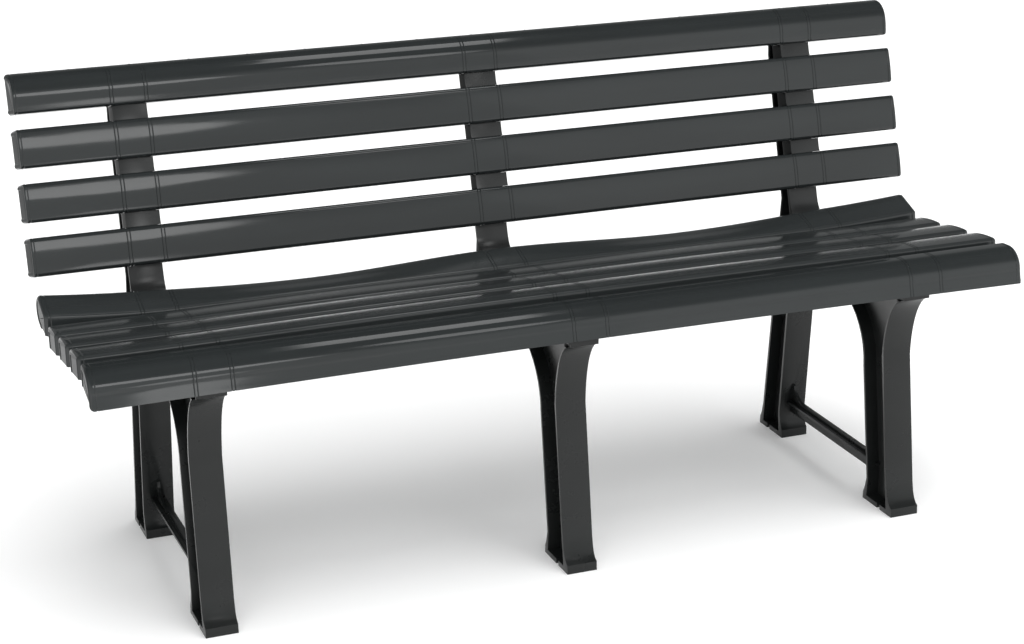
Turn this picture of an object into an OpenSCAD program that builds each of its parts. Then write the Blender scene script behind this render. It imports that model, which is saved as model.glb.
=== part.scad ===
// Three-seat slatted garden bench, moulded plastic.
// X runs along the bench, Y from the front edge to the back, Z up.
// The origin is on the ground under the middle of the bench.

/* [Bench] */
// Length of the seat slats, end to end
bench_l = 1455; // [1300:5:1600]
// Length of the backrest slats, end to end
back_l = 1464; // [1300:2:1600]
// Distance from the middle frame to each end frame, centre to centre
frame_pitch = 557; // [480:1:580]
// Slope of the seat, falling towards the back, in degrees
seat_angle = 6.6; // [5:0.1:8]
// Lean of the backrest from vertical, in degrees
back_angle = 16.9; // [15:0.1:18]

/* [Slats] */
// Width of a seat slat
slat_w = 60; // [56:1:62]
// Height of a backrest slat
back_w = 57.5; // [55:0.5:60]
// Depth of a slat, from its crown to the face that meets the frame
slat_t = 34; // [32:1:36]
// Wall thickness of a slat shell
slat_wall = 3.5; // [3:0.5:5]
// Radius of the two outer corners of a plain slat
slat_r = 6; // [5:0.5:8]
// Height of the crown across the face of a plain slat
slat_crown = 2; // [1:0.5:3]
// Radius of the rolled nose on the top slat and the front slat
nose_r = 34; // [31:1:35]
// How far the lower edge of the top slat is tucked back from its nose
nose_tuck = 2.5; // [0:0.5:4]
// Distance from slat to slat up the backrest
back_pitch = 79.7; // [78:0.1:82]
// Distance from slat to slat across the seat
seat_pitch = 80.7; // [79:0.1:82]
// Thickness of the stiffening ribs inside a slat
rib_t = 3; // [2:0.5:4]
// Spacing of the stiffening ribs inside a slat
rib_pitch = 91; // [70:1:120]

/* [Rear seat slat] */
// How far its rear crest dips between two frames
crest_dip = 10; // [0:1:12]
// How far both ends of it curl up
end_rise = 11; // [0:0.5:14]

/* [Frames] */
// Width of the legs and feet
leg_w = 48; // [44:1:50]
// Width of the posts and rails
post_w = 52; // [46:1:52]
// Thickness of the flanges
flange_t = 5; // [4:0.5:6]
// Thickness of the centre webs
web_t = 6; // [4:0.5:8]
// Height of the seat rail
rail_h = 27; // [25:1:30]
// How far a spacer block stands back from the slat faces
block_recess = 10; // [8:1:14]
// Thickness of the base plate in each foot
foot_plate = 8; // [6:1:10]
// Width of the drain notch across each foot
notch_w = 8; // [6:1:10]
// Diameter of the hole in the web above each front foot
peg_hole_d = 5; // [4:0.5:6]
// Width of the latch notch at the top of each front leg
latch_w = 4; // [3:0.5:8]

/* [Stretcher] */
// Height of the upper face of the stretcher above the ground
stretcher_z = 63; // [60:1:70]
// Width of the stretcher's flange
stretcher_w = 21; // [18:1:24]
// Depth of the web under the flange
stretcher_web = 17; // [12:1:20]
// Height of the curved gussets above the flange
gusset_h = 29; // [20:1:35]

/* [Fixings] */
// Shank diameter of the slat screws
screw_d = 4.2; // [4:0.1:5]
// Head diameter of the slat screws
screw_head_d = 9; // [8:0.5:10]
// Shank diameter of the frame bolts
bolt_d = 6; // [5:0.5:6]
// Sideways distance of every fixing from the centre of its frame
fixing_x = 14; // [12:1:15]

/* [Hidden] */
$fn = 32;
FRAMES = ["left", "centre", "right"];
plastic = [0.22, 0.235, 0.24];
frame_plastic = [0.19, 0.20, 0.205];
steel = [0.72, 0.73, 0.75];

// Front lower corner of the lowest backrest slat, as [y, z]
back_o = [124.9, 456.2];
// Front upper corner of the seat slat behind the front slat, as [y, z]
seat_o = [-165.9, 427.4];
// Where the lowest backrest slat starts, measured up the backrest
back_first = -1.5;
// Where the first plain seat slat starts, measured across the seat
seat_first = -1.5;
// Underside of the seat rails, measured square to the seat
rail_low = -slat_t + 1 - rail_h;
rail_top = -slat_t + 1;
// Highest point of the backrest posts, measured up the backrest
post_top = 3 * back_pitch + 42;
clear = 0.3;
eps = 0.01;
// Boss block inside each slat over each frame, and how deep the screws bite into it
boss_w = 40;
boss_h = 26;
screw_bite = 20;
pilot_l = screw_bite + 2;
bolt_hole_d = bolt_d + 0.5;
screw_hole_d = screw_d + 1;
hex_d = 10;
hex_head_h = 4;
hex_nut_h = 5;
arc_n = 8;

// A point v behind and u above the backrest origin, in the bench's [y, z]
function bk(v, u) = [back_o[0] + v * cos(back_angle) + u * sin(back_angle),
                     back_o[1] - v * sin(back_angle) + u * cos(back_angle)];
// A point s behind and n above the seat origin, in the bench's [y, z]
function st(s, n) = [seat_o[0] + s * cos(seat_angle) + n * sin(seat_angle),
                     seat_o[1] - s * sin(seat_angle) + n * cos(seat_angle)];
// Height of the rail underside at a given y
function under_rail(y) =
    let (p = st(0, rail_low)) p[1] - (y - p[0]) * tan(seat_angle);
function ell(c, rx, ry, a0, a1, n = arc_n) =
    [for (i = [0:n]) let (a = a0 + (a1 - a0) * i / n) [c[0] + rx * cos(a), c[1] + ry * sin(a)]];
function frame_x(i) = (i - 1) * frame_pitch;
function flip(pts) = [for (i = [len(pts) - 1:-1:0]) pts[i]];

// Stretches a [y, z] outline along X, centred on x
module plate(w, x = 0) {
    translate([x - w / 2, 0, 0]) rotate([90, 0, 90]) linear_extrude(w) children();
}
module in_back() {
    translate([0, back_o[0], back_o[1]]) rotate([-back_angle, 0, 0]) children();
}
module in_seat() {
    translate([0, seat_o[0], seat_o[1]]) rotate([-seat_angle, 0, 0]) children();
}

// ---- slat sections: [depth behind the crown, height up the face] ----

// Outline of a plain slat, drawn in by e, with its open back at depth t
function plain_section(e, t, w) =
    let (r = slat_r - e, x0 = slat_crown * pow(1 - slat_r / (w / 2), 2))
    concat([[t, e]],
           ell([x0 + slat_r, slat_r], r, r, 270, 180, 5),
           [for (i = [1:7]) let (h = slat_r + (w - 2 * slat_r) * i / 8)
               [e + slat_crown * pow(2 * h / w - 1, 2), h]],
           ell([x0 + slat_r, w - slat_r], r, r, 180, 90, 5),
           [[t, w - e]]);

// Outline of the top slat: a small lower corner and a rolled upper nose
function nose_section(e, t, w) =
    let (r = slat_r - e, c = [nose_r + 0.5, w - nose_r + 4])
    concat([[t, e]],
           ell([0.5 + nose_tuck + slat_r, slat_r], r, r, 270, 180, 5),
           ell(c, nose_r - e, nose_r - e, 180, 92, 14),
           [[t, c[1] + nose_r - e]]);

module slat_ribs() {
    n = floor((bench_l / 2 - 30) / rib_pitch);
    for (i = [-n:n]) plate(rib_t, i * rib_pitch) children();
}
// The section of a slat, drawn in by e and open at depth t
module section(e, t, w, nose) {
    polygon(nose ? nose_section(e, t, w) : plain_section(e, t, w));
}
// Shell with end walls, ribs and a boss block over each frame
module slat_body(l, w, nose) {
    difference() {
        plate(l) section(0, slat_t, w, nose);
        plate(l - 2 * slat_wall) section(slat_wall, slat_t + 1, w, nose);
    }
    slat_ribs() section(slat_wall / 2, slat_t - 6, w, nose);
    for (i = [0:2]) plate(boss_w, frame_x(i)) intersection() {
        section(1, slat_t, w, nose);
        translate([0, (w - boss_h) / 2]) square([slat_t, boss_h]);
    }
}
// Pilot holes for the two screws at each frame
module pilot_holes(w) {
    for (i = [0:2], s = [-1, 1])
        translate([frame_x(i) + s * fixing_x, slat_t - pilot_l, w / 2])
            rotate([-90, 0, 0]) cylinder(d = screw_d, h = pilot_l + 1);
}
module slat(l, w, nose = false) {
    difference() {
        slat_body(l, w, nose);
        pilot_holes(w);
    }
}

module back_slat(k) {
    color(plastic) in_back()
        translate([0, 0, back_first + (4 - k) * back_pitch]) slat(back_l, back_w, nose = k == 1);
}
module back_slat_1() { back_slat(1); }
module back_slat_2() { back_slat(2); }
module back_slat_3() { back_slat(3); }
module back_slat_4() { back_slat(4); }

// ---- seat slats, numbered from the back to the front ----

function seat_start(k) = seat_first + (4 - k) * seat_pitch;
module plain_seat_slat(k) {
    color(plastic) in_seat() translate([0, seat_start(k), 1]) rotate([-90, 0, 0]) slat(bench_l, slat_w);
}
module seat_slat_2() { plain_seat_slat(2); }
module seat_slat_3() { plain_seat_slat(3); }
module seat_slat_4() { plain_seat_slat(4); }

// Rear seat slat. Its crest dips between the frames and its ends curl up.
rear_front = seat_start(1) - 2;
// Centre and radius of its round rear crest
crest_c = [rear_front + 45, -3];
crest_r = 24;
// Where its screws sit, measured back from its front face
rear_screw = 22;
// Where the screws of the front slat sit, measured across the seat
front_screw = -36;
crest_stations = 36;
// Where the crest is lowest, measured from the middle frame
trough_x = 310;
function crest_at(x) =
    let (a = abs(x))
    a <= trough_x ? (1 - cos(180 * a / trough_x)) / 2
    : a < frame_pitch ? cos(90 * (a - trough_x) / (frame_pitch - trough_x)) : 0;
function curl_at(x) =
    pow(max(0, abs(x) - 0.97 * frame_pitch) / (bench_l / 2 - 0.97 * frame_pitch), 1.5);
// Outline in the seat's own [s, n], drawn in by e; the cavity runs out at the bottom
function rear_section(e, cavity = false) =
    let (f = rear_front, r = crest_r - e)
    concat(cavity ? [[f + e, rail_top - 6]] : [[f + 1, rail_top + 1]],
           [[f + e, -4]],
           [[f + 1.5 + e * 0.7, -0.2 - e]],
           [[f + 5 + e * 0.5, 1.4 - e], [f + 20, 9.4 - e], [f + 34, 16.6 - e]],
           ell(crest_c, r, r, 98, 0, 6),
           cavity ? [[f + 69 - e, -18], [f + 66 - e, rail_top - 6]]
                  : [[f + 68, -11], [f + 60, -22], [f + 44, -30]],
           cavity ? [] : [[f + 22, rail_top + 1]]);
// Lifts a section point for its place along the bench
function lifted(p, x) =
    let (t = min(1, max(0, (p[0] - rear_front) / 45)), top = min(1, max(0, (p[1] + 40) / 30)))
    [x, p[0], p[1] + end_rise * curl_at(x) - crest_dip * t * top * crest_at(x)];
// Faces of n rings of m points each, with a fan at both ends around points n*m and n*m+1
function sweep_faces(n, m) = concat(
    [for (j = [0:m - 1]) [n * m, (j + 1) % m, j]],
    [for (i = [0:n - 2], j = [0:m - 1]) let (k = (j + 1) % m)
        each [[i * m + j, (i + 1) * m + k, (i + 1) * m + j], [i * m + j, i * m + k, (i + 1) * m + k]]],
    [for (j = [0:m - 1]) [n * m + 1, (n - 1) * m + j, (n - 1) * m + (j + 1) % m]]);
module rear_sweep(e, l, cavity = false) {
    sec = rear_section(e, cavity);
    mid = [rear_front + 34, -12];
    xs = [for (i = [0:crest_stations]) -l / 2 + l * i / crest_stations];
    polyhedron(points = concat([for (x = xs) each [for (p = sec) lifted(p, x)]],
                               [lifted(mid, -l / 2), lifted(mid, l / 2)]),
               faces = sweep_faces(len(xs), len(sec)), convexity = 6);
}
module seat_slat_1() {
    color(plastic) in_seat() difference() {
        union() {
            difference() {
                rear_sweep(0, bench_l);
                rear_sweep(slat_wall, bench_l - 2 * slat_wall, cavity = true);
            }
            for (i = [0:2])
                translate([frame_x(i) - boss_w / 2, rear_front + 8, rail_top])
                    cube([boss_w, 28, 36]);
        }
        for (i = [0:2], s = [-1, 1])
            translate([frame_x(i) + s * fixing_x, rear_front + rear_screw, rail_top - 1])
                cylinder(d = screw_d, h = pilot_l + 1);
    }
}

// Front seat slat: rolled nose and a skirt whose lower edge arches up a little
front_y = -245;
front_back_y = -187;
nose_c = [front_y + nose_r + 4.5, 395];
skirt_low = 376;
skirt_arch = 5;
function front_section(e) = concat(
    [[front_y + e, skirt_low - (e > 0 ? 20 : 0)], [front_y + 4 + e, nose_c[1]]],
    ell(nose_c, nose_r - e, nose_r - e, 172, 92, 12),
    ell([front_back_y - slat_r, 429 - slat_r], slat_r - e, slat_r - e, 88, 0, 4),
    [[front_back_y - e, 396 - (e > 0 ? 40 : 0)]],
    e > 0 ? [] : [[-214, skirt_low + 6]]);
module skirt_relief() {
    r = (pow(bench_l / 2, 2) + pow(skirt_arch, 2)) / (2 * skirt_arch);
    half = bench_l / 2 + 1;
    arch = [for (i = [-12:12]) let (x = half * i / 12)
        [x, skirt_low + skirt_arch - r + sqrt(r * r - x * x)]];
    translate([0, front_y + 20, 0]) rotate([90, 0, 0]) linear_extrude(30)
        polygon(concat([[half, skirt_low - 30], [-half, skirt_low - 30]], arch));
}
module seat_slat_5() {
    color(plastic) difference() {
        union() {
            difference() {
                plate(bench_l) polygon(front_section(0));
                plate(bench_l - 2 * slat_wall) polygon(front_section(slat_wall));
            }
            slat_ribs() intersection() {
                polygon(front_section(slat_wall / 2));
                polygon([[front_y, 404], [front_back_y, 404], [front_back_y, 440], [front_y, 440]]);
            }
            in_seat() for (i = [0:2])
                translate([frame_x(i) - boss_w / 2, -47, rail_top]) cube([boss_w, 22, 28]);
        }
        skirt_relief();
        in_seat() for (i = [0:2], s = [-1, 1])
            translate([frame_x(i) + s * fixing_x, front_screw, rail_top - 1])
                cylinder(d = screw_d, h = pilot_l + 1);
    }
}

// ---- frames ----

// Web plus a rim of flanges around a [y, z] outline
module i_section(w, outer, inner, x) {
    plate(w, x) difference() {
        polygon(outer);
        polygon(inner);
    }
    plate(web_t, x) polygon(outer);
}

// Spacer block that fills the gap between two backrest slats, sloping forward a little at its foot
function back_block(i) =
    let (u0 = back_first + back_w + i * back_pitch + clear,
         u1 = back_first + (i + 1) * back_pitch - clear)
    [bk(slat_t + 1, u0), bk(block_recess - 1.2, u0), bk(block_recess, u0 + 6),
     bk(block_recess, u1), bk(slat_t + 1, u1)];
// Foot of a post's front face, which curves forward a little just above the rear seat slat
post_foot = [bk(slat_t + 1, -46), bk(slat_t, -46), bk(28.5, -43), bk(30.5, -38), bk(32.3, -33),
             bk(33.5, -27), bk(slat_t, -20), bk(slat_t + 1, -20)];

// Rear line of a post from the top down: tapered behind the top slat
function post_back(e) = [bk(slat_t + 8 - e, post_top - e), bk(slat_t + 23 - e, 3 * back_pitch - 14),
                         bk(slat_t + 29 - e, -15), [184.5 - e, 392]];
// Cuts the middle post narrower behind its blocks: width w from depth v back, from height u up
module slim_cut(x, w, v, u) {
    side = (post_w - w) / 2 + 1;
    for (s = [-1, 1])
        plate(side, x + s * (w + side) / 2)
            polygon([bk(v, u), bk(v, post_top + 5), bk(slat_t + 50, post_top + 5), bk(slat_t + 50, u)]);
}
module slim_post(x) {
    slim_cut(x, 40, slat_t + eps, back_first);
    slim_cut(x, 32, slat_t + flange_t, -85);
}
module back_post(i) {
    x = frame_x(i);
    foot_y = 136;
    rear_y = 190.5;
    f = flange_t;
    outer = concat([[foot_y, under_rail(foot_y)], bk(slat_t, -44), bk(slat_t, post_top)],
                   post_back(0), [[rear_y, under_rail(rear_y)]]);
    inner = concat([[foot_y + f + 0.6, under_rail(foot_y) + f + 1], bk(slat_t + f, -44),
                    bk(slat_t + f, post_top - 2 * f)],
                   [for (k = [1:3]) post_back(f)[k]], [[rear_y - f, under_rail(rear_y) + f + 1]]);
    color(frame_plastic) difference() {
        union() {
            difference() {
                i_section(post_w, outer, inner, x);
                if (i == 1) slim_post(x);
            }
            for (k = [0:2]) plate(post_w, x) polygon(back_block(k));
            plate(post_w, x) polygon(post_foot);
        }
        in_back() for (k = [0:3], s = [-1, 1])
            translate([x + s * fixing_x, slat_t - 1, back_first + back_w / 2 + k * back_pitch])
                rotate([-90, 0, 0]) cylinder(d = screw_hole_d, h = flange_t + 2);
        for (s = [-1, 1]) post_bolt_axis(x + s * fixing_x)
            translate([0, 0, -8]) cylinder(d = bolt_hole_d, h = 30);
        if (i != 1) for (s = [-1, 1], y = REAR_BOLTS)
            leg_bolt_axis(x + s * fixing_x, y) cylinder(d = bolt_hole_d, h = 30, center = true);
    }
}
module back_post_left() { back_post(0); }
module back_post_centre() { back_post(1); }
module back_post_right() { back_post(2); }

// Spacer blocks between the seat slats, from the front slat to the rear slat
function seat_gap(k) = k == 0 ? [-20.6, seat_first]
                     : k == 3 ? [seat_start(2) + slat_w, rear_front]
                     : [seat_start(5 - k) + slat_w, seat_start(4 - k)];
rail_front = -51;
module seat_rail(i) {
    x = frame_x(i);
    face = [136, under_rail(136)];
    top_y = 139.1;
    s_top = (top_y - st(0, rail_top)[0]) / cos(seat_angle);
    outer = [st(rail_front, rail_low), st(rail_front, rail_top), st(s_top, rail_top), face];
    f = flange_t;
    inner = [st(rail_front + f, rail_low + f), st(rail_front + f, rail_top - f),
             st(s_top - f, rail_top - f), [face[0] - f, face[1] + f + 0.6]];
    color(frame_plastic) difference() {
        union() {
            i_section(post_w, outer, inner, x);
            for (k = [0:3]) let (g = seat_gap(k))
                plate(post_w, x) polygon([st(g[0] + clear, rail_top - 1), st(g[0] + clear, 1 - block_recess),
                    st(g[1] - clear, 1 - block_recess), st(g[1] - clear, rail_top - 1)]);
        }
        in_seat() for (y = seat_screw_rows(), s = [-1, 1])
            translate([x + s * fixing_x, y, rail_top - f - 1]) cylinder(d = screw_hole_d, h = f + 2);
        for (s = [-1, 1]) post_bolt_axis(x + s * fixing_x)
            translate([0, 0, -8]) cylinder(d = bolt_hole_d, h = 30);
        for (s = [-1, 1], y = FRONT_BOLTS)
            leg_bolt_axis(x + s * fixing_x, y) cylinder(d = bolt_hole_d, h = 30, center = true);
        if (i != 1) for (s = [-1, 1])
            leg_bolt_axis(x + s * fixing_x, REAR_RAIL_BOLT) cylinder(d = bolt_hole_d, h = 30, center = true);
    }
}
module seat_rail_left() { seat_rail(0); }
module seat_rail_centre() { seat_rail(1); }
module seat_rail_right() { seat_rail(2); }

// Rows of slat screws across the seat, front slat first
function seat_screw_rows() = concat([front_screw],
    [for (k = [4:-1:2]) seat_start(k) + slat_w / 2], [rear_front + rear_screw]);

// ---- legs ----

leg_cap = 8;
FRONT_BOLTS = [-185, -70];
REAR_BOLTS = [164];
REAR_RAIL_BOLT = 116;

// Front face of the front leg from the ground up, drawn in by e
function front_leg_face(e) = concat(
    e > 0 ? [[-202 + e, foot_plate], [-199 + e, 30]]
          : [[-214, 0], [-213.4, 14], [-208, 17], [-203, 23], [-199, 33]],
    [[-195.5 + e, 50]],
    ell([-215, 255], 48 + e, 107, 0, e > 0 ? 70 : 88, 10));
// Rear face of the front leg from the ground up, drawn in by e
function front_leg_back(e) = concat(
    e > 0 ? [[-131 - e, foot_plate], [-134 - e, 38]]
          : [[-125, 0], [-125.6, 12], [-130, 22], [-134, 38]],
    [[-127 - e, 87]],
    ell([5, 222], 112 + e, 109, 180, e > 0 ? 106 : 92, 10));
// Closed outline between a front and a rear face, topped by the rail underside
function leg_outline(fr, bk_pts, drop) =
    let (a = fr[len(fr) - 1], b = bk_pts[len(bk_pts) - 1])
    concat(fr, [[a[0], under_rail(a[0]) - drop]], [[b[0], under_rail(b[0]) - drop]], flip(bk_pts));

module foot_notch(y, x) {
    plate(leg_w + 2, x) polygon([[y - notch_w / 2, -1], [y - notch_w / 2, foot_plate],
        [y, foot_plate + 4], [y + notch_w / 2, foot_plate], [y + notch_w / 2, -1]]);
}
// Pair of slots where the stretcher's tongues pass a leg flange centred on y
module tongue_slots(y, x) {
    for (s = [-1, 1])
        translate([x + s * (stretcher_w / 2 + web_t / 2) / 2, y, stretcher_z - 2])
            cube([(stretcher_w - web_t) / 2 - 0.4, 16, 4.4], center = true);
}
module front_leg(i) {
    x = frame_x(i);
    color(frame_plastic) difference() {
        i_section(leg_w, leg_outline(front_leg_face(0), front_leg_back(0), 0),
                  leg_outline(front_leg_face(flange_t), front_leg_back(flange_t), leg_cap), x);
        foot_notch(-174, x);
        translate([x, -173, 24]) rotate([0, 90, 0]) cylinder(d = peg_hole_d, h = 20, center = true);
        // latch notch in the edge of the front flange, just under the rail
        translate([x - leg_w / 2 + latch_w / 2 - 1, -210, 363]) cube([latch_w + 2, 24, 7], center = true);
        for (s = [-1, 1], y = FRONT_BOLTS)
            leg_bolt_axis(x + s * fixing_x, y) cylinder(d = bolt_hole_d, h = 26, center = true);
        if (i != 1) tongue_slots(-129, x);
    }
}
module front_leg_left() { front_leg(0); }
module front_leg_centre() { front_leg(1); }
module front_leg_right() { front_leg(2); }

// Front face of the rear leg from the ground up, drawn in by e
function rear_leg_face(e) = concat(
    e > 0 ? [[160 + e, foot_plate], [162 + e, 32]]
          : [[152, 0], [152.6, 14], [156, 17], [160, 27]],
    [[163 + e, 45]],
    ell([95, 222], 53 + e, 100, 0, e > 0 ? 70 : 88, 8));
// Rear face of the rear leg from the ground up, drawn in by e
function rear_leg_back(e) = concat(
    e > 0 ? [[227 - e, foot_plate]] : [[234, 0], [233.4, 12], [228, 22]],
    [[223.5 - e, 42], [207 - e, 195], [193 - e, 318]]);
module rear_leg(i) {
    x = frame_x(i);
    color(frame_plastic) difference() {
        i_section(leg_w, leg_outline(rear_leg_face(0), rear_leg_back(0), 0),
                  leg_outline(rear_leg_face(flange_t), rear_leg_back(flange_t), leg_cap), x);
        foot_notch(202, x);
        for (s = [-1, 1], y = concat(REAR_BOLTS, [REAR_RAIL_BOLT]))
            leg_bolt_axis(x + s * fixing_x, y) cylinder(d = bolt_hole_d, h = 30, center = true);
        tongue_slots(164, x);
    }
}
module rear_leg_left() { rear_leg(0); }
module rear_leg_right() { rear_leg(2); }

// Y of a leg face at height z, from its outline points
function on_face(pts, z) = lookup(z, [for (p = pts) [p[1], p[0]]]);

// T-section tie between the legs, with a curved gusset at each end and tongues through the flanges
module stretcher(i) {
    x = frame_x(i);
    low = stretcher_z - 4 - stretcher_web;
    y0 = function(z) on_face(front_leg_back(0), z);
    y1 = function(z) on_face(rear_leg_face(0), z);
    up = stretcher_z + gusset_h;
    zs = [for (k = [0:6]) low + (up - low) * k / 6];
    color(frame_plastic) union() {
        plate(stretcher_w, x) polygon([[y0(stretcher_z), stretcher_z], [y0(stretcher_z - 4), stretcher_z - 4],
            [y1(stretcher_z - 4), stretcher_z - 4], [y1(stretcher_z), stretcher_z]]);
        plate(5, x) polygon(concat(
            [for (z = zs) [y0(z), z]],
            [[y0(up) + 4, up]],
            ell([y0(up) + 54, up], 50, gusset_h - 3, 180, 270, 6),
            ell([y1(up) - 54, up], 50, gusset_h - 3, 270, 360, 6),
            [for (k = [6:-1:0]) [y1(zs[k]), zs[k]]]));
        for (s = [-1, 1], y = [y0(stretcher_z) - 3, y1(stretcher_z) + 3])
            translate([x + s * (stretcher_w / 2 + web_t / 2) / 2, y, stretcher_z - 2])
                cube([(stretcher_w - web_t) / 2 - 0.8, 12, 4], center = true);
    }
}
module stretcher_left() { stretcher(0); }
module stretcher_right() { stretcher(2); }

// ---- fixings ----

// Pan-head screw whose head rests on z = 0 and whose shank runs up
module slat_screw(l) {
    cylinder(d = screw_d - 0.2, h = l);
    translate([0, 0, -3]) cylinder(d = screw_head_d, h = 3 + eps);
}
module back_slat_screws() {
    color(steel) in_back() for (i = [0:2], k = [0:3], s = [-1, 1])
        translate([frame_x(i) + s * fixing_x, slat_t + flange_t, back_first + back_w / 2 + k * back_pitch])
            rotate([90, 0, 0]) slat_screw(flange_t + screw_bite);
}
module seat_slat_screws() {
    color(steel) in_seat() for (i = [0:2], y = seat_screw_rows(), s = [-1, 1])
        translate([frame_x(i) + s * fixing_x, y, rail_top - flange_t]) slat_screw(flange_t + screw_bite);
}
// Places its child on the rail underside at y, square to it
module leg_bolt_axis(x, y) {
    translate([x, y, under_rail(y)]) rotate([-seat_angle, 0, 0]) children();
}
// Places its child on the joint between rail and post, pointing back
module post_bolt_axis(x) {
    p = [137.6, 345];
    translate([x, p[0], p[1]]) rotate([-90, 0, 0]) children();
}
// Hex bolt through two plates that meet at z = 0, with its nut above
module frame_bolt(below, above) {
    translate([0, 0, -below]) cylinder(d = bolt_d, h = below + above + hex_nut_h);
    translate([0, 0, -below - hex_head_h]) cylinder(d = hex_d, h = hex_head_h + eps, $fn = 6);
    translate([0, 0, above]) cylinder(d = hex_d, h = hex_nut_h, $fn = 6);
}
module leg_bolts() {
    color(steel) {
        for (i = [0:2], s = [-1, 1], y = FRONT_BOLTS)
            leg_bolt_axis(frame_x(i) + s * fixing_x, y) frame_bolt(leg_cap, flange_t);
        for (i = [0, 2], s = [-1, 1], y = concat(REAR_BOLTS, [REAR_RAIL_BOLT]))
            leg_bolt_axis(frame_x(i) + s * fixing_x, y) frame_bolt(leg_cap, flange_t + 1);
    }
}
module post_bolts() {
    color(steel) for (i = [0:2], s = [-1, 1])
        post_bolt_axis(frame_x(i) + s * fixing_x) frame_bolt(flange_t + 1, flange_t + 1);
}

back_slat_1();
back_slat_2();
back_slat_3();
back_slat_4();
seat_slat_1();
seat_slat_2();
seat_slat_3();
seat_slat_4();
seat_slat_5();
back_post_left();
back_post_centre();
back_post_right();
seat_rail_left();
seat_rail_centre();
seat_rail_right();
front_leg_left();
front_leg_centre();
front_leg_right();
rear_leg_left();
rear_leg_right();
stretcher_left();
stretcher_right();
back_slat_screws();
seat_slat_screws();
leg_bolts();
post_bolts();
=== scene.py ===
import math

import bmesh
import bpy
from mathutils import Matrix, Vector


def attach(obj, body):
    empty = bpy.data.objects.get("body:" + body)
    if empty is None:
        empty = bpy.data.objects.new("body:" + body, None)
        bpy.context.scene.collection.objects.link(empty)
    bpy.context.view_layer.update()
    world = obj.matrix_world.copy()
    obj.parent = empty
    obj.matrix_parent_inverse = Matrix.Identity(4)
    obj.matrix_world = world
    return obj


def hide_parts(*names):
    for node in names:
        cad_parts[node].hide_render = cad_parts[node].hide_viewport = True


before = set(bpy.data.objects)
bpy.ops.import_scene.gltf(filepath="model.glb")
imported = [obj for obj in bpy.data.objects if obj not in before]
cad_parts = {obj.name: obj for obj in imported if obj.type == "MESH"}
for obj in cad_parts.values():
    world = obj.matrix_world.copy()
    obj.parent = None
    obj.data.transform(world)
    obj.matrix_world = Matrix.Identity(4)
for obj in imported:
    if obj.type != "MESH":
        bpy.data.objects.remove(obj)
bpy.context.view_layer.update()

MM = 0.001

# Sizes of the bench, in millimetres, in the same frame as the CAD
LENGTH = 1455.0
BACK_LENGTH = 1464.0
FRAME_X = (-557.0, 0.0, 557.0)
BACK_ANGLE = math.radians(16.9)
BACK_ORIGIN = (124.9, 456.2)
BACK_PITCH = 79.7
BACK_FIRST = -1.5
BACK_W = 57.5
SEAT_ANGLE = math.radians(6.6)
SEAT_ORIGIN = (-165.9, 427.4)
SEAT_PITCH = 80.7
SEAT_FIRST = -1.5
SEAT_W = 60.0
SLAT_T = 34.0
WALL = 3.5
CROWN = 2.0
CORNER_R = 6.0
NOSE_R = 34.0
# How far the lower edge of the rolled top slat tucks in
NOSE_TUCK = 2.5

# Front seat slat: its front, its back, its top, the foot of its skirt and the bow of that foot
FRONT_Y = -245.0
FRONT_BACK_Y = -187.0
FRONT_TOP = 429.0
SKIRT_FOOT = 376.0
SKIRT_BOW = 5.0

# Rear seat slat: where its lower edge starts along the seat, its crest and the troughs in that crest
REAR_FRONT = SEAT_FIRST + 3 * SEAT_PITCH - 2
CREST_R = 24.0
CREST_DIP = 10.0
CREST_RUN = 45.0
TROUGH_X = 310.0
REAR_BOW = 1.5
# How much its left and right ends curl up
END_RISE = (13.5, 9.5)

# Ribs and bosses inside the slats
RIB_PITCH = 91.0
RIB_T = 3.0
RIB_SET_BACK = 6.0
RIB_MARGIN = 30.0
BOSS_W = 40.0
BOSS_H = 26.0

# Creases that cross every slat on both sides of each frame, each a pair of fine lines
CREASE_X = 26.0
CREASE_LINE = 2.4
CREASE_HALF = 1.0
CREASE_DEPTH = 0.75

# Rounded slat ends, with a fine line just inside them and a lip turned in behind them
END_R = 6.0
END_LINE = 9.0
END_LINE_DEPTH = 0.6
END_LIP = 0.9
# How far the end faces of the backrest slats slope outwards towards the back, and over what length
END_DRAFT = 5.0
DRAFT_ZONE = 4.0

# How finely a slat is divided along its plain stretches and around its rounded ends
PLAIN_STEPS = 60
END_STEPS = 8

# Rounding of the edges of the frame pieces
EDGE_R = 1.3
STRETCHER_EDGE_R = 0.8

# Plastics: lighter and darker shade, range of roughness, strength of grain, sheen of faces and of flanks
GLOSSY = {"colour": (0.0175, 0.0205, 0.021), "dark": (0.0138, 0.016, 0.0164),
          "rough": (0.05, 0.11), "grain": 0.03, "face": 0.5, "flank": 0.02}
SATIN = {"colour": (0.0225, 0.0255, 0.026), "dark": (0.0187, 0.021, 0.0214),
         "rough": (0.13, 0.21), "grain": 0.05, "face": 0.5, "flank": 0.02}
LEG = {"colour": (0.0108, 0.0121, 0.0119), "dark": (0.0086, 0.0096, 0.0095),
       "rough": (0.24, 0.34), "grain": 0.06, "face": 0.33, "flank": 0.5}
POST = {"colour": (0.0125, 0.0135, 0.0135), "dark": (0.010, 0.0108, 0.0108),
        "rough": (0.18, 0.28), "grain": 0.05, "face": 0.5, "flank": 0.02}
PLASTIC_IOR = 1.49

# Where the camera stands, in metres, and how it is turned
CAMERA_AT = (-1.2503, -3.0925, 1.4833)
YAW = math.radians(21.574)
PITCH = math.radians(19.062)
ROLL = math.radians(-0.245)


# ---------- outlines: lists of (depth, height) from one open edge to the other ----------

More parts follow.
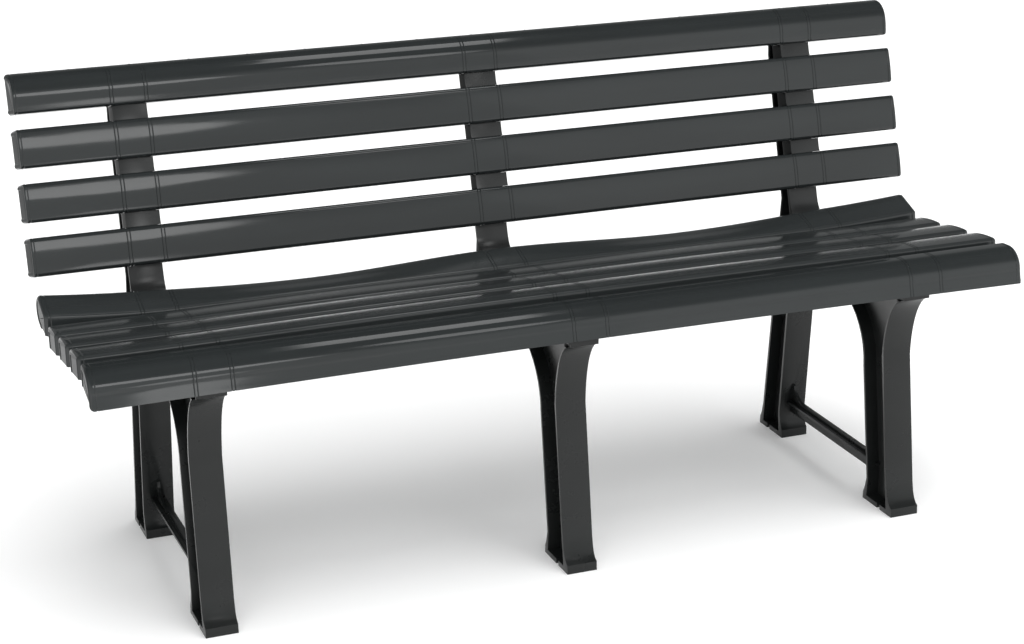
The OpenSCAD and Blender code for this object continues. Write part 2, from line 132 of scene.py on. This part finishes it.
def arc(cx, cy, r, a0, a1, n):
    """A round stretch in n steps, from angle a0 to angle a1 in degrees."""
    return [(cx + r * math.cos(math.radians(a0 + (a1 - a0) * i / n)),
             cy + r * math.sin(math.radians(a0 + (a1 - a0) * i / n))) for i in range(n + 1)]


def plain_outline(width):
    """A slat with a slightly crowned face and two round corners."""
    x0 = CROWN * (1 - CORNER_R / (width / 2)) ** 2
    face = [CORNER_R + (width - 2 * CORNER_R) * i / 14 for i in range(1, 14)]
    return ([(SLAT_T, 0.0), (SLAT_T * 0.5, 0.0)]
            + arc(x0 + CORNER_R, CORNER_R, CORNER_R, 270, 180, 6)
            + [(CROWN * (2 * h / width - 1) ** 2, h) for h in face]
            + arc(x0 + CORNER_R, width - CORNER_R, CORNER_R, 180, 90, 6)
            + [(SLAT_T * 0.5, width), (SLAT_T, width)])


def nose_outline(width):
    """The top slat of the backrest, whose upper edge rolls over backwards."""
    cx, cy = NOSE_R + 0.5, width - NOSE_R + 4
    return ([(SLAT_T, 0.0), (SLAT_T * 0.5, 0.0)]
            + arc(0.5 + NOSE_TUCK + CORNER_R, CORNER_R, CORNER_R, 270, 180, 6)
            + [(0.4 + NOSE_TUCK * (1 - i / 8) ** 1.7, CORNER_R + (cy - CORNER_R) * i / 8)
               for i in range(1, 8)]
            + arc(cx, cy, NOSE_R, 180, 92, 18))


def front_outline():
    """The front seat slat: a skirt, a rolled nose, a flat top and a short rear wall."""
    y0, back, foot, top = FRONT_Y, FRONT_BACK_Y, SKIRT_FOOT, FRONT_TOP
    cy, cz = y0 + NOSE_R + 4.5, top - NOSE_R
    return ([(y0 + 3, foot), (y0, foot + 1), (y0 + 1.5, foot + 8), (y0 + 3.3, foot + 15)]
            + arc(cy, cz, NOSE_R, 175, 92, 18)
            + [(back - CORNER_R - 6, top - 0.4)]
            + arc(back - CORNER_R, top - CORNER_R - 0.6, CORNER_R, 88, 0, 6)
            + [(back, top - 21), (back, top - 33)])


def rear_outline(front):
    """The rear seat slat: a low front edge that sweeps up to a round crest and down behind it."""
    return ([(front + 1, -32.0), (front, -20.0), (front, -6.0), (front + 0.3, -3.0), (front + 1.2, -1.0),
             (front + 3, 0.4), (front + 5, 1.4), (front + 12, 5.1), (front + 20, 9.4), (front + 27, 13.1),
             (front + 34, 16.6)]
            + arc(front + CREST_RUN, -3.0, CREST_R, 98, 0, 12)
            + [(front + 68, -11.0), (front + 60, -22.0), (front + 44, -30.0)])


def inset(points, e):
    """The outline moved inwards by e, to the left of its direction of travel."""
    out = []
    for i, p in enumerate(points):
        a = points[max(i - 1, 0)]
        b = points[min(i + 1, len(points) - 1)]
        d1 = Vector((p[0] - a[0], p[1] - a[1])) if i > 0 else Vector((b[0] - p[0], b[1] - p[1]))
        d2 = Vector((b[0] - p[0], b[1] - p[1])) if i < len(points) - 1 else d1
        d1.normalize()
        d2.normalize()
        n = Vector((d1.y + d2.y, -d1.x - d2.x))
        n.normalize()
        scale = max(0.5, n.dot(Vector((d1.y, -d1.x))))
        out.append((p[0] + n.x * e / scale, p[1] + n.y * e / scale))
    return out


def inner_wall(outline):
    """The outline of the wall's inner side, which ends level with the slat's open edges."""
    wall = inset(outline, WALL)
    for end, beside in ((0, 1), (-1, -2)):
        if abs(outline[end][0] - outline[beside][0]) > 1:
            wall[end] = (outline[end][0], wall[end][1])
    return wall


def rib_of(outline):
    """A plain slat's rib: inside the shell, cut off before the open side."""
    return inset([(min(SLAT_T - RIB_SET_BACK, depth), height) for depth, height in outline], WALL / 2)


def boss_of(outline, width):
    """A plain slat's boss: a block at mid height, from the face back to the open side."""
    lo, hi = (width - BOSS_H) / 2, (width + BOSS_H) / 2
    face = [p for p in inset(outline, 1.0) if lo < p[1] < hi and p[0] < SLAT_T / 2]
    return [(SLAT_T, lo), (face[0][0], lo)] + face + [(face[-1][0], hi), (SLAT_T, hi)]


# ---------- how the slats lie in the bench ----------

def in_back(u0):
    """Places in the plane of the backrest, from u0 up its slope; the end faces are drafted."""
    c, s = math.cos(BACK_ANGLE), math.sin(BACK_ANGLE)

    def place(x, v, u):
        near_end = min(1.0, max(0.0, (abs(x) - BACK_LENGTH / 2 + DRAFT_ZONE) / DRAFT_ZONE))
        x -= math.copysign(END_DRAFT * near_end * (1 - v / SLAT_T), x)
        return (x, BACK_ORIGIN[0] + v * c + (u + u0) * s, BACK_ORIGIN[1] - v * s + (u + u0) * c)
    return place


def in_seat(s0, n0=0.0):
    """Places in the plane of the seat, from s0 along its slope and n0 above it."""
    c, s = math.cos(SEAT_ANGLE), math.sin(SEAT_ANGLE)

    def place(x, p, n):
        return (x, SEAT_ORIGIN[0] + (p + s0) * c + (n + n0) * s,
                SEAT_ORIGIN[1] - (p + s0) * s + (n + n0) * c)
    return place


def curl(x):
    """How far a seat slat's end has curled up: 0 until the end frames, 1 at the tips."""
    start = 0.97 * FRAME_X[2]
    return (max(0.0, abs(x) - start) / (LENGTH / 2 - start)) ** 1.5


def arch(x):
    """A long bow: 1 in the middle of the bench, 0 at its ends."""
    return 1 - (2 * x / LENGTH) ** 2


def dip(x):
    """How far the rear slat's crest has dipped: 0 over the frames, 1 in the troughs between them."""
    a = abs(x)
    if a <= TROUGH_X:
        return (1 - math.cos(math.pi * a / TROUGH_X)) / 2
    if a < FRAME_X[2]:
        return math.cos(math.pi / 2 * (a - TROUGH_X) / (FRAME_X[2] - TROUGH_X))
    return 0.0


def plain_seat(k, rise, mid):
    """Plain seat slat k, whose ends curl up by rise and whose middle bows up by mid."""
    lay = in_seat(SEAT_FIRST + (4 - k) * SEAT_PITCH, 1.0)

    def place(x, d, h):
        x, y, z = lay(x, h, -d)
        return x, y, z + rise * curl(x) + mid * arch(x)
    return place


def rear_place(x, s, n):
    """The rear seat slat: its crest dips and its front edge bows, and both ends curl up."""
    t = min(1.0, max(0.0, (s - REAR_FRONT) / CREST_RUN))
    t = t * t * (3 - 2 * t)
    top = min(1.0, max(0.0, (n + 40) / 30))
    x, y, z = in_seat(0.0)(x, s, n)
    sag = CREST_DIP * t * top * dip(x)
    return x, y, z + END_RISE[x > 0] * curl(x) - sag + REAR_BOW * (1 - t) * arch(x)


def front_place(x, y, z):
    """The front seat slat, whose skirt bows up in the middle while its top stays level."""
    low = max(0.0, min(1.0, (FRONT_TOP - z) / (FRONT_TOP - SKIRT_FOOT)))
    return x, y, z + SKIRT_BOW * arch(x) * low * (1 if z < SKIRT_FOOT + 4 else 0.8)


# ---------- mesh makers ----------

def notch(centre, half, depth):
    """A fine rounded groove: places along the slat and how far the skin is drawn in at each."""
    steps = [-1.5, -1.0, -0.7, -0.4, 0.0, 0.4, 0.7, 1.0, 1.5]
    return [(centre + f * half, depth * max(0.0, 1 - abs(f)) ** 0.6) for f in steps]


def is_clear(x, taken):
    """Whether a place is far enough from the ones already taken."""
    return all(abs(x - t) > 2.5 for t in taken)


def stations(length):
    """Places along a slat, with how far its skin is drawn in at each: creases and rounded ends."""
    half = length / 2
    marks = []
    for fx in FRAME_X:
        for side in (-1, 1):
            for line in (-CREASE_LINE, CREASE_LINE):
                marks += notch(fx + side * CREASE_X + line, CREASE_HALF, CREASE_DEPTH)
    for side in (-1, 1):
        marks += notch(side * (half - END_LINE), CREASE_HALF, END_LINE_DEPTH)
    flat = half - END_R - 0.6
    plain = [-flat + 2 * flat * i / PLAIN_STEPS for i in range(PLAIN_STEPS + 1)]
    marks += [(x, 0.0) for x in plain if is_clear(x, [m[0] for m in marks]) or abs(x) == flat]
    marks.sort()
    turn = [math.pi / 2 * i / END_STEPS for i in range(END_STEPS + 1)]
    ends = [(half - END_R + END_R * math.sin(a), END_R - END_R * math.cos(a)) for a in turn]
    ends += [(half - 0.05, END_R + 1.2), (half - END_LIP, END_R + 1.8)]
    return [(-x, e) for x, e in reversed(ends)] + marks + ends


def shade_smooth(bm, angle):
    """Smooth faces, with a hard edge where two of them meet at more than the angle, in degrees."""
    limit = math.radians(angle)
    for f in bm.faces:
        f.smooth = True
    for e in bm.edges:
        e.smooth = not (len(e.link_faces) == 2 and e.calc_face_angle(0.0) > limit)


def to_object(name, bm, smooth_angle=32):
    """A scene object with the mesh built so far, its faces turned outwards."""
    bmesh.ops.recalc_face_normals(bm, faces=bm.faces)
    shade_smooth(bm, smooth_angle)
    mesh = bpy.data.meshes.new(name)
    bm.to_mesh(mesh)
    bm.free()
    obj = bpy.data.objects.new(name, mesh)
    bpy.context.scene.collection.objects.link(obj)
    return obj


def add_row(bm, place, x, outline):
    """The corners of one cross-section of a slat."""
    return [bm.verts.new(Vector(place(x, p[0], p[1])) * MM) for p in outline]


def add_plate(bm, outline, x, width, place):
    """A flat rib or block across the slat: outline stretched over width, centred on x."""
    left, right = [add_row(bm, place, edge, outline) for edge in (x - width / 2, x + width / 2)]
    n = len(outline)
    for i in range(n):
        j = (i + 1) % n
        bm.faces.new((left[i], left[j], right[j], right[i]))
    bm.faces.new(left)
    bm.faces.new(list(reversed(right)))


def join_walls(bm, outer, inner, first):
    """Close the slat's open side. The wall's second row is level with the skin's row number first."""
    edges = (0, len(outer[0]) - 1)
    count = len(inner) - 2
    for j in edges:
        for i in range(count - 1):
            bm.faces.new((outer[first + i][j], outer[first + i + 1][j], inner[i + 2][j], inner[i + 1][j]))
    last = first + count - 1
    tip = len(outer) - 1
    for lo, hi, end, near, far in ((0, first, 0, 1, 0), (last, tip, tip, count, count + 1)):
        for j in edges:
            rim = [outer[i][j] for i in range(lo, hi + 1)]
            back = [inner[near][j], inner[far][j]]
            bm.faces.new(rim + (back if end == 0 else back[::-1]))
        bm.faces.new((outer[end][0], outer[end][edges[1]], inner[far][edges[1]], inner[far][0]))


def shell(name, outline, place, rib, boss, length=LENGTH):
    """A slat: skin with creases and rounded ends, an inner wall, ribs and a boss over each frame."""
    bm = bmesh.new()
    half = length / 2
    line = stations(length)
    outer = [add_row(bm, place, x, inset(outline, e)) for x, e in line]
    inner_line = [x for x, e in line if abs(x) < half - END_LINE - 3]
    first = [x for x, e in line].index(inner_line[0])
    inner_line = [-half + WALL + END_LIP] + inner_line + [half - WALL - END_LIP]
    wall = inner_wall(outline)
    inner = [add_row(bm, place, x, wall) for x in inner_line]
    for rows, flip in ((outer, False), (inner, True)):
        for a, b in zip(rows, rows[1:]):
            for j in range(len(outline) - 1):
                quad = (a[j], b[j], b[j + 1], a[j + 1])
                bm.faces.new(tuple(reversed(quad)) if flip else quad)
    for rows in (outer, inner):
        bm.faces.new(rows[0])
        bm.faces.new(list(reversed(rows[-1])))
    join_walls(bm, outer, inner, first)
    n = int((half - RIB_MARGIN) // RIB_PITCH)
    for i in range(-n, n + 1):
        add_plate(bm, rib, i * RIB_PITCH, RIB_T, place)
    for fx in FRAME_X:
        add_plate(bm, boss, fx, BOSS_W, place)
    return to_object(name, bm)


def rounded_copy(node, width, angle=28):
    """A copy of a CAD piece with its flat faces merged and its edges rounded, as moulding leaves them."""
    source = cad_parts[node]
    bm = bmesh.new()
    bm.from_mesh(source.data)
    bm.transform(source.matrix_world)
    bmesh.ops.remove_doubles(bm, verts=bm.verts, dist=1e-6)
    bmesh.ops.dissolve_limit(bm, angle_limit=math.radians(0.6), verts=bm.verts, edges=bm.edges)
    obj = to_object(node + "_moulded", bm, angle)
    bevel = obj.modifiers.new("edges", "BEVEL")
    bevel.width = width * MM
    bevel.segments = 3
    bevel.limit_method = "ANGLE"
    bevel.angle_limit = math.radians(angle)
    bevel.use_clamp_overlap = True
    deps = bpy.context.evaluated_depsgraph_get()
    mesh = bpy.data.meshes.new_from_object(obj.evaluated_get(deps))
    obj.modifiers.clear()
    old = obj.data
    obj.data = mesh
    bpy.data.meshes.remove(old)
    bm = bmesh.new()
    bm.from_mesh(mesh)
    shade_smooth(bm, angle)
    bm.to_mesh(mesh)
    bm.free()
    return obj


def settle(obj, node, material):
    """The piece takes its material and stands for a CAD node."""
    obj.data.materials.append(material)
    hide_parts(node)
    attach(obj, "root")


# ---------- materials ----------

def add_node(tree, kind, **values):
    """A new shader node with some of its inputs set: From_Min=0.3 sets the input From Min."""
    node = tree.nodes.new("ShaderNode" + kind)
    for name, value in values.items():
        node.inputs[name.replace("_", " ")].default_value = value
    return node


def new_material(name, **values):
    """A node material with some of the inputs of its surface set: the material, its tree, that surface."""
    mat = bpy.data.materials.new(name)
    mat.use_nodes = True
    bsdf = mat.node_tree.nodes["Principled BSDF"]
    for key, value in values.items():
        bsdf.inputs[key.replace("_", " ")].default_value = value
    return mat, mat.node_tree, bsdf


def add_shades(tree, flow, colour, dark):
    """Slow change of shade where the melt cooled."""
    cloud = add_node(tree, "TexNoise", Scale=1.6, Detail=4.0)
    ramp = add_node(tree, "ValToRGB")
    low, high = ramp.color_ramp.elements
    low.position, low.color = 0.3, (*dark, 1)
    high.position, high.color = 0.72, (*colour, 1)
    tree.links.new(flow, cloud.inputs["Vector"])
    tree.links.new(cloud.outputs["Fac"], ramp.inputs["Fac"])
    return ramp.outputs["Color"]


def add_gloss(tree, skin, rough):
    """Gloss that varies with handling and weather."""
    haze = add_node(tree, "TexNoise", Scale=9.0, Detail=6.0, Roughness=0.62)
    gloss = add_node(tree, "MapRange", From_Min=0.3, From_Max=0.7, To_Min=rough[0], To_Max=rough[1])
    tree.links.new(skin, haze.inputs["Vector"])
    tree.links.new(haze.outputs["Fac"], gloss.inputs["Value"])
    return gloss.outputs["Result"]


def add_relief(tree, skin, flow, grain):
    """Fine moulding grain over faint sink marks."""
    fine = add_node(tree, "TexNoise", Scale=900.0, Detail=2.0)
    sink = add_node(tree, "TexNoise", Scale=4.0, Detail=2.0)
    soft = add_node(tree, "Bump", Strength=0.14, Distance=0.0006)
    bump = add_node(tree, "Bump", Strength=grain, Distance=0.00025)
    tree.links.new(skin, fine.inputs["Vector"])
    tree.links.new(flow, sink.inputs["Vector"])
    tree.links.new(sink.outputs["Fac"], soft.inputs["Height"])
    tree.links.new(fine.outputs["Fac"], bump.inputs["Height"])
    tree.links.new(soft.outputs["Normal"], bump.inputs["Normal"])
    return bump.outputs["Normal"]


def add_sheen(tree, normal, face, flank):
    """A sheen of its own for end faces and flanks, which leave the mould with another finish."""
    facing = add_node(tree, "SeparateXYZ")
    sideways = add_node(tree, "Math")
    sideways.operation = "ABSOLUTE"
    sheen = add_node(tree, "MapRange", From_Min=0.75, From_Max=0.95, To_Min=face, To_Max=flank)
    tree.links.new(normal, facing.inputs["Vector"])
    tree.links.new(facing.outputs["X"], sideways.inputs[0])
    tree.links.new(sideways.outputs["Value"], sheen.inputs["Value"])
    return sheen.outputs["Result"]


def plastic(name, seed, look):
    """Moulded plastic with one of the looks named above; seed shifts its pattern."""
    mat, tree, bsdf = new_material(name, IOR=PLASTIC_IOR)
    coord = add_node(tree, "TexCoord")
    shift = add_node(tree, "Mapping", Location=(seed, seed * 0.7, seed * 1.3))
    tree.links.new(coord.outputs["Object"], shift.inputs["Vector"])
    stretch = add_node(tree, "Mapping", Scale=(2.2, 14.0, 14.0))
    tree.links.new(shift.outputs["Vector"], stretch.inputs["Vector"])
    skin, flow = shift.outputs["Vector"], stretch.outputs["Vector"]
    tree.links.new(add_shades(tree, flow, look["colour"], look["dark"]), bsdf.inputs["Base Color"])
    tree.links.new(add_gloss(tree, skin, look["rough"]), bsdf.inputs["Roughness"])
    tree.links.new(add_relief(tree, skin, flow, look["grain"]), bsdf.inputs["Normal"])
    sheen = add_sheen(tree, coord.outputs["Normal"], look["face"], look["flank"])
    tree.links.new(sheen, bsdf.inputs["Specular IOR Level"])
    return mat


def zinc():
    """Zinc-plated steel with a mottled shade and gloss."""
    mat, tree, bsdf = new_material("zinc_steel", Metallic=1.0)
    coord = add_node(tree, "TexCoord")
    noise = add_node(tree, "TexNoise", Scale=260.0, Detail=5.0)
    ramp = add_node(tree, "ValToRGB")
    ramp.color_ramp.elements[0].color = (0.36, 0.37, 0.39, 1)
    ramp.color_ramp.elements[1].color = (0.66, 0.67, 0.69, 1)
    spread = add_node(tree, "MapRange", To_Min=0.28, To_Max=0.52)
    tree.links.new(coord.outputs["Object"], noise.inputs["Vector"])
    tree.links.new(noise.outputs["Fac"], ramp.inputs["Fac"])
    tree.links.new(ramp.outputs["Color"], bsdf.inputs["Base Color"])
    tree.links.new(noise.outputs["Fac"], spread.inputs["Value"])
    tree.links.new(spread.outputs["Result"], bsdf.inputs["Roughness"])
    return mat


# ---------- the bench ----------

# Backrest slats, the top one with a rolled edge
for k in range(1, 5):
    outline = nose_outline(BACK_W) if k == 1 else plain_outline(BACK_W)
    node = f"back_slat_{k}"
    place = in_back(BACK_FIRST + (4 - k) * BACK_PITCH)
    piece = shell(node + "_moulded", outline, place, rib_of(outline), boss_of(outline, BACK_W), BACK_LENGTH)
    settle(piece, node, plastic(node + "_plastic", k * 3.1, GLOSSY))

# Plain seat slats, each with the rise of its ends and the bow of its middle
for k, rise, mid in ((2, 2.0, 3.0), (3, 2.5, 5.0), (4, 2.0, 5.0)):
    outline = plain_outline(SEAT_W)
    node = f"seat_slat_{k}"
    place = plain_seat(k, rise, mid)
    piece = shell(node + "_moulded", outline, place, rib_of(outline), boss_of(outline, SEAT_W))
    settle(piece, node, plastic(node + "_plastic", k * 4.3 + 1, SATIN))

# Rear seat slat
rib = [(REAR_FRONT + 2, -8), (REAR_FRONT + 4, -2.5), (REAR_FRONT + 34, 12), (REAR_FRONT + 46, 17),
       (REAR_FRONT + 60, 10), (REAR_FRONT + 66, -3), (REAR_FRONT + 64, -10), (REAR_FRONT + 20, -16)]
boss = [(REAR_FRONT + 8, -32), (REAR_FRONT + 36, -32), (REAR_FRONT + 36, 14), (REAR_FRONT + 8, 0.5)]
piece = shell("seat_slat_1_moulded", rear_outline(REAR_FRONT), rear_place, rib, boss)
settle(piece, "seat_slat_1", plastic("seat_slat_1_plastic", 7.7, SATIN))

# Front seat slat
front = front_outline()
rib_foot = FRONT_TOP - 25
rib = [p for p in inset(front, WALL / 2) if p[1] > rib_foot]
rib = [(rib[0][0], rib_foot)] + rib + [(rib[-1][0], rib_foot)]
boss = [(-206, 398), (-188.5, 396), (-188.5, 422), (-192, 427), (-206, 427)]
piece = shell("seat_slat_5_moulded", front, front_place, rib, boss)
settle(piece, "seat_slat_5", plastic("seat_slat_5_plastic", 5.9, GLOSSY))

# Legs, posts, rails and stretchers
leg_mat = plastic("leg_plastic", 2.4, LEG)
post_mat = plastic("post_plastic", 8.6, POST)
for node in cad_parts:
    if node.startswith(("front_leg", "rear_leg", "back_post", "seat_rail", "stretcher")):
        piece = rounded_copy(node, STRETCHER_EDGE_R if "stretcher" in node else EDGE_R)
        settle(piece, node, post_mat if "post" in node else leg_mat)

# Screws and bolts keep their CAD shape
steel = zinc()
for node in ("back_slat_screws", "seat_slat_screws", "leg_bolts", "post_bolts"):
    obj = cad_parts[node]
    obj.data.materials.clear()
    obj.data.materials.append(steel)

# ---------- floor, light and camera ----------

bpy.ops.mesh.primitive_plane_add(size=60, location=(0, 0, 0))
floor = bpy.context.object
floor.name = "studio_floor"
floor_mat, _, _ = new_material("studio_floor", Base_Color=(0.93, 0.93, 0.93, 1), Roughness=0.9,
                               Specular_IOR_Level=0.1, Emission_Color=(1, 1, 1, 1), Emission_Strength=0.12)
floor.data.materials.append(floor_mat)


def studio_world():
    """Bright around the horizon and dim overhead, and darker behind the bench than in front of it."""
    world = bpy.data.worlds.new("studio")
    world.use_nodes = True
    tree = world.node_tree
    background = tree.nodes["Background"]
    coord = add_node(tree, "TexCoord")
    split = add_node(tree, "SeparateXYZ")
    tree.links.new(coord.outputs["Generated"], split.inputs["Vector"])
    height = add_node(tree, "ValToRGB")
    height.color_ramp.interpolation = "EASE"
    horizon, overhead = height.color_ramp.elements
    horizon.position, horizon.color = 0.30, (0.98, 1.0, 1.0, 1)
    overhead.position, overhead.color = 0.75, (0.22, 0.22, 0.22, 1)
    tree.links.new(split.outputs["Z"], height.inputs["Fac"])
    tree.links.new(height.outputs["Color"], background.inputs["Color"])
    behind = add_node(tree, "MapRange", From_Min=-0.2, From_Max=0.6, To_Min=1.0, To_Max=0.25)
    tree.links.new(split.outputs["Y"], behind.inputs["Value"])
    tree.links.new(behind.outputs["Result"], background.inputs["Strength"])
    return world


def softbox(name, location, target, width, height, radiance, shape="RECTANGLE"):
    """An area light of a given radiance that faces its target."""
    light = bpy.data.lights.new(name, "AREA")
    light.shape = shape
    light.size = width
    light.size_y = height
    area = width * height * (math.pi / 4 if shape == "ELLIPSE" else 1)
    light.energy = radiance * math.pi * area
    obj = bpy.data.objects.new(name, light)
    obj.location = location
    obj.rotation_euler = (Vector(target) - Vector(location)).to_track_quat("-Z", "Y").to_euler()
    bpy.context.scene.collection.objects.link(obj)


bpy.context.scene.world = studio_world()
bpy.context.scene.view_settings.view_transform = "Standard"

# Each softbox is placed for the highlight it leaves on the slats; the ellipses give soft round ends
softbox("front_softbox", (0.02, -3.0, 2.05), (-0.45, 0.15, 0.56), 0.86, 0.62, 3.3, "ELLIPSE")
softbox("high_softbox", (0.93, -2.41, 2.82), (-0.1, 0.2, 0.71), 0.55, 0.9, 2.6, "ELLIPSE")
softbox("low_softbox", (0.06, -3.3, 0.62), (-0.59, -0.24, 0.4), 0.3, 0.45, 2.4, "ELLIPSE")
softbox("overhead_strip", (0.85, 0.0, 3.8), (0.85, 0.0, 0.0), 0.75, 1.4, 3.0)
softbox("right_panel", (4.2, -5.0, 2.2), (0.6, 0.15, 0.6), 4.0, 3.6, 0.2)

# Broad daylight from the ceiling, kept out of the reflections
ceiling = bpy.data.lights.new("ceiling", "SUN")
ceiling.energy = 3.1
ceiling.angle = math.radians(75)
ceiling_obj = bpy.data.objects.new("ceiling", ceiling)
ceiling_obj.rotation_euler = (math.radians(14), math.radians(4), 0)
ceiling_obj.visible_glossy = False
bpy.context.scene.collection.objects.link(ceiling_obj)


def camera_matrix():
    """The camera stands in front of the bench, to its left and above it, and looks down at it."""
    look = Vector((math.sin(YAW) * math.cos(PITCH), math.cos(YAW) * math.cos(PITCH), -math.sin(PITCH)))
    right = look.cross(Vector((0, 0, 1))).normalized()
    up = right.cross(look)
    tilted_right = math.cos(ROLL) * right + math.sin(ROLL) * up
    tilted_up = -math.sin(ROLL) * right + math.cos(ROLL) * up
    return Matrix((*zip(tilted_right, tilted_up, -look, CAMERA_AT), (0, 0, 0, 1)))


cam_data = bpy.data.cameras.new("camera")
cam_data.sensor_width = 36.0
cam_data.lens = 80.48
cam_data.clip_end = 100
camera = bpy.data.objects.new("camera", cam_data)
camera.matrix_world = camera_matrix()
bpy.context.scene.collection.objects.link(camera)
bpy.context.scene.camera = camera
